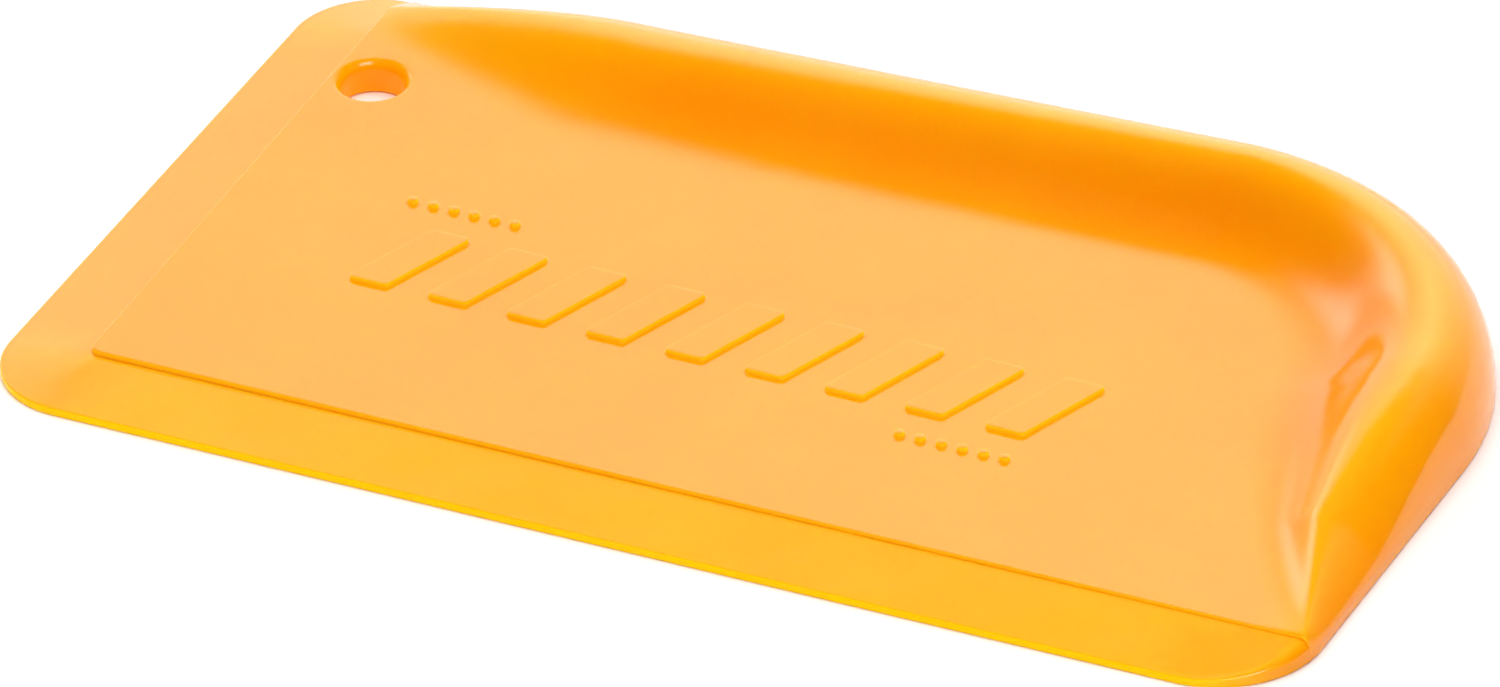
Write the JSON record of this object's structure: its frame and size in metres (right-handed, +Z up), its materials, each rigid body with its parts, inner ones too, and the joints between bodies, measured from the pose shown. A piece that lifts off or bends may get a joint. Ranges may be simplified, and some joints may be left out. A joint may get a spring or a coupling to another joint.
{
  "type": "hand scraper card",
  "caption": "One-piece moulded hard scraper card: thin scraping lip on two sides, raised hollow grip ridge round the other two, a rounded hanging hole and raised bars.",
  "frame": {"origin": "centre of the outline, on the flat underside", "axes": "+X along the long front lip towards the high grip side, +Y from the front lip to the back grip, +Z up"},
  "size_m": [0.15, 0.0874, 0.0107],
  "materials": {
    "moulding": "glossy, slightly translucent orange moulded plastic"
  },
  "bodies": {
    "root": {"scraper_moulding": "moulding"}
  },
  "joints": []
}
